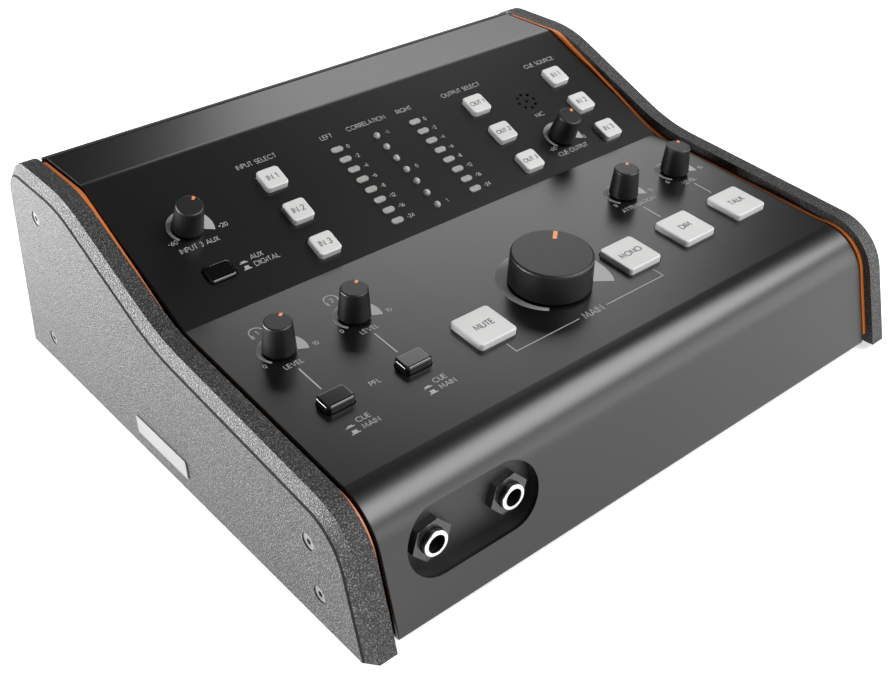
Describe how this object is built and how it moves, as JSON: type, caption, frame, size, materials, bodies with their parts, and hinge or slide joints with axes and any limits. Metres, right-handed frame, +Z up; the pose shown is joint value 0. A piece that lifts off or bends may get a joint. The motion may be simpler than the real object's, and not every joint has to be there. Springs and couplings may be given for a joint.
{
  "type": "desktop studio monitor controller",
  "caption": "Wedge-shaped desktop audio controller with side cheeks, rotary level knobs, illuminated push buttons, bar meters, a talkback microphone and headphone sockets.",
  "frame": {"origin": "centre of the footprint, on the surface that the feet stand on", "axes": "+Z up, +X to the user's right, +Y away from the user"},
  "size_m": [0.2652, 0.2468, 0.0936],
  "materials": {
    "cover_paint": "fine satin black powder coat",
    "chassis_paint": "black powder coat",
    "orange_paint": "satin orange paint",
    "cheek_texture": "stippled charcoal texture paint over board",
    "screw_steel": "blackened steel",
    "badge_metal": "blank satin plate",
    "jack_plastic": "gloss black",
    "nut_plastic": "black with worn edges",
    "ring_chrome": "polished",
    "foot_rubber": "matt black",
    "led_lens": "frosted clear lens",
    "board": "green solder mask",
    "pot_metal": "plain",
    "switch_plastic": "black moulded",
    "spacer_brass": "plain",
    "inlet_plastic": "black moulded",
    "mic_metal": "plain can",
    "phono_metal": "plated",
    "ribbon": "grey ribbon",
    "button_white": "satin white silicone-like moulding",
    "latch_black": "gloss black moulding",
    "knob_black": "satin soft-touch black",
    "shaft_metal": "turned"
  },
  "bodies": {
    "chassis": {"top_cover": "cover_paint", "base_tray": "chassis_paint", "rear_panel": "chassis_paint", "side_plate_left": "orange_paint", "side_plate_right": "orange_paint", "cheek_left": "cheek_texture", "cheek_right": "cheek_texture", "cheek_screws": "screw_steel", "side_badges": "badge_metal", "jack_plate": "chassis_paint", "jack_sockets": "jack_plastic", "jack_nuts": "nut_plastic", "jack_rings": "ring_chrome", "feet": "foot_rubber", "chassis_screws": "screw_steel", "level_leds": "led_lens", "correlation_leds": "led_lens", "upper_board": "board", "lower_board": "board", "connector_board": "board", "pot_bodies": "pot_metal", "key_switches": "switch_plastic", "latch_switches": "switch_plastic", "board_standoffs": "spacer_brass", "power_inlet": "inlet_plastic", "rocker_frame": "inlet_plastic", "talkback_mic": "mic_metal", "phono_sockets": "phono_metal", "ribbon_cables": "ribbon"},
    "input_button_1": {"input_button_1": "button_white"},
    "output_button_1": {"output_button_1": "button_white"},
    "cue_button_1": {"cue_button_1": "button_white"},
    "input_button_2": {"input_button_2": "button_white"},
    "output_button_2": {"output_button_2": "button_white"},
    "cue_button_2": {"cue_button_2": "button_white"},
    "input_button_3": {"input_button_3": "button_white"},
    "output_button_3": {"output_button_3": "button_white"},
    "cue_button_3": {"cue_button_3": "button_white"},
    "mute_button": {"mute_button": "button_white"},
    "mono_button": {"mono_button": "button_white"},
    "dim_button": {"dim_button": "button_white"},
    "talk_button": {"talk_button": "button_white"},
    "aux_latch_button": {"aux_latch_button": "latch_black"},
    "phones_latch_button_1": {"phones_latch_button_1": "latch_black"},
    "phones_latch_button_2": {"phones_latch_button_2": "latch_black"},
    "aux_control": {"aux_knob": "knob_black", "aux_shaft": "shaft_metal"},
    "cue_output_control": {"cue_output_knob": "knob_black", "cue_output_shaft": "shaft_metal"},
    "phones_1_control": {"phones_1_knob": "knob_black", "phones_1_shaft": "shaft_metal"},
    "phones_2_control": {"phones_2_knob": "knob_black", "phones_2_shaft": "shaft_metal"},
    "attenuation_control": {"attenuation_knob": "knob_black", "attenuation_shaft": "shaft_metal"},
    "talk_level_control": {"talk_level_knob": "knob_black", "talk_level_shaft": "shaft_metal"},
    "main_control": {"main_knob": "knob_black", "main_shaft": "shaft_metal"},
    "power_rocker": {"power_rocker": "latch_black"}
  },
  "joints": [
    {"name": "input_button_1_press", "type": "slide", "parent": "chassis", "child": "input_button_1", "axis": [0, 0.4211, -0.907], "range_m": [0, 0.0012], "stiffness_N_per_m": 400},
    {"name": "output_button_1_press", "type": "slide", "parent": "chassis", "child": "output_button_1", "axis": [0, 0.4211, -0.907], "range_m": [0, 0.0012], "stiffness_N_per_m": 400},
    {"name": "cue_button_1_press", "type": "slide", "parent": "chassis", "child": "cue_button_1", "axis": [0, 0.4211, -0.907], "range_m": [0, 0.0012], "stiffness_N_per_m": 400},
    {"name": "input_button_2_press", "type": "slide", "parent": "chassis", "child": "input_button_2", "axis": [0, 0.4211, -0.907], "range_m": [0, 0.0012], "stiffness_N_per_m": 400},
    {"name": "output_button_2_press", "type": "slide", "parent": "chassis", "child": "output_button_2", "axis": [0, 0.4211, -0.907], "range_m": [0, 0.0012], "stiffness_N_per_m": 400},
    {"name": "cue_button_2_press", "type": "slide", "parent": "chassis", "child": "cue_button_2", "axis": [0, 0.4211, -0.907], "range_m": [0, 0.0012], "stiffness_N_per_m": 400},
    {"name": "input_button_3_press", "type": "slide", "parent": "chassis", "child": "input_button_3", "axis": [0, 0.4211, -0.907], "range_m": [0, 0.0012], "stiffness_N_per_m": 400},
    {"name": "output_button_3_press", "type": "slide", "parent": "chassis", "child": "output_button_3", "axis": [0, 0.4211, -0.907], "range_m": [0, 0.0012], "stiffness_N_per_m": 400},
    {"name": "cue_button_3_press", "type": "slide", "parent": "chassis", "child": "cue_button_3", "axis": [0, 0.4211, -0.907], "range_m": [0, 0.0012], "stiffness_N_per_m": 400},
    {"name": "mute_button_press", "type": "slide", "parent": "chassis", "child": "mute_button", "axis": [0, 0.1125, -0.9937], "range_m": [0, 0.0012], "stiffness_N_per_m": 400},
    {"name": "mono_button_press", "type": "slide", "parent": "chassis", "child": "mono_button", "axis": [0, 0.1125, -0.9937], "range_m": [0, 0.0012], "stiffness_N_per_m": 400},
    {"name": "dim_button_press", "type": "slide", "parent": "chassis", "child": "dim_button", "axis": [0, 0.1125, -0.9937], "range_m": [0, 0.0012], "stiffness_N_per_m": 400},
    {"name": "talk_button_press", "type": "slide", "parent": "chassis", "child": "talk_button", "axis": [0, 0.1125, -0.9937], "range_m": [0, 0.0012], "stiffness_N_per_m": 400},
    {"name": "aux_latch_button_press", "type": "slide", "parent": "chassis", "child": "aux_latch_button", "axis": [0, -0.4211, 0.907], "range_m": [-0.0008, 0.0022]},
    {"name": "phones_latch_button_1_press", "type": "slide", "parent": "chassis", "child": "phones_latch_button_1", "axis": [0, 0.1125, -0.9937], "range_m": [0, 0.003], "stiffness_N_per_m": 200},
    {"name": "phones_latch_button_2_press", "type": "slide", "parent": "chassis", "child": "phones_latch_button_2", "axis": [0, 0.1125, -0.9937], "range_m": [0, 0.003], "stiffness_N_per_m": 200},
    {"name": "aux_turn", "type": "hinge", "parent": "chassis", "child": "aux_control", "pos_m": [-0.0945, 0.03129, 0.07746], "axis": [0, -0.4211, 0.907], "range_deg": [-101.5, 198.5]},
    {"name": "cue_output_turn", "type": "hinge", "parent": "chassis", "child": "cue_output_control", "pos_m": [0.0757, 0.00989, 0.06753], "axis": [0, -0.4211, 0.907], "range_deg": [-101.5, 198.5]},
    {"name": "phones_1_turn", "type": "hinge", "parent": "chassis", "child": "phones_1_control", "pos_m": [-0.0988, -0.03328, 0.05725], "axis": [0, -0.1125, 0.9937], "range_deg": [-101.5, 198.5]},
    {"name": "phones_2_turn", "type": "hinge", "parent": "chassis", "child": "phones_2_control", "pos_m": [-0.0675, -0.03328, 0.05725], "axis": [0, -0.1125, 0.9937], "range_deg": [-101.5, 198.5]},
    {"name": "attenuation_turn", "type": "hinge", "parent": "chassis", "child": "attenuation_control", "pos_m": [0.0689, -0.03328, 0.05725], "axis": [0, -0.1125, 0.9937], "range_deg": [-101.5, 198.5]},
    {"name": "talk_level_turn", "type": "hinge", "parent": "chassis", "child": "talk_level_control", "pos_m": [0.1, -0.03328, 0.05725], "axis": [0, -0.1125, 0.9937], "range_deg": [-101.5, 198.5]},
    {"name": "main_turn", "type": "hinge", "parent": "chassis", "child": "main_control", "pos_m": [0.002, -0.05932, 0.0543], "axis": [0, -0.1125, 0.9937], "range_deg": [-101.5, 198.5]},
    {"name": "power_rocker_tilt", "type": "hinge", "parent": "chassis", "child": "power_rocker", "pos_m": [-0.088, 0.10047, 0.06255], "axis": [0, -0.2012, 0.9795], "range_deg": [0, 16]}
  ]
}
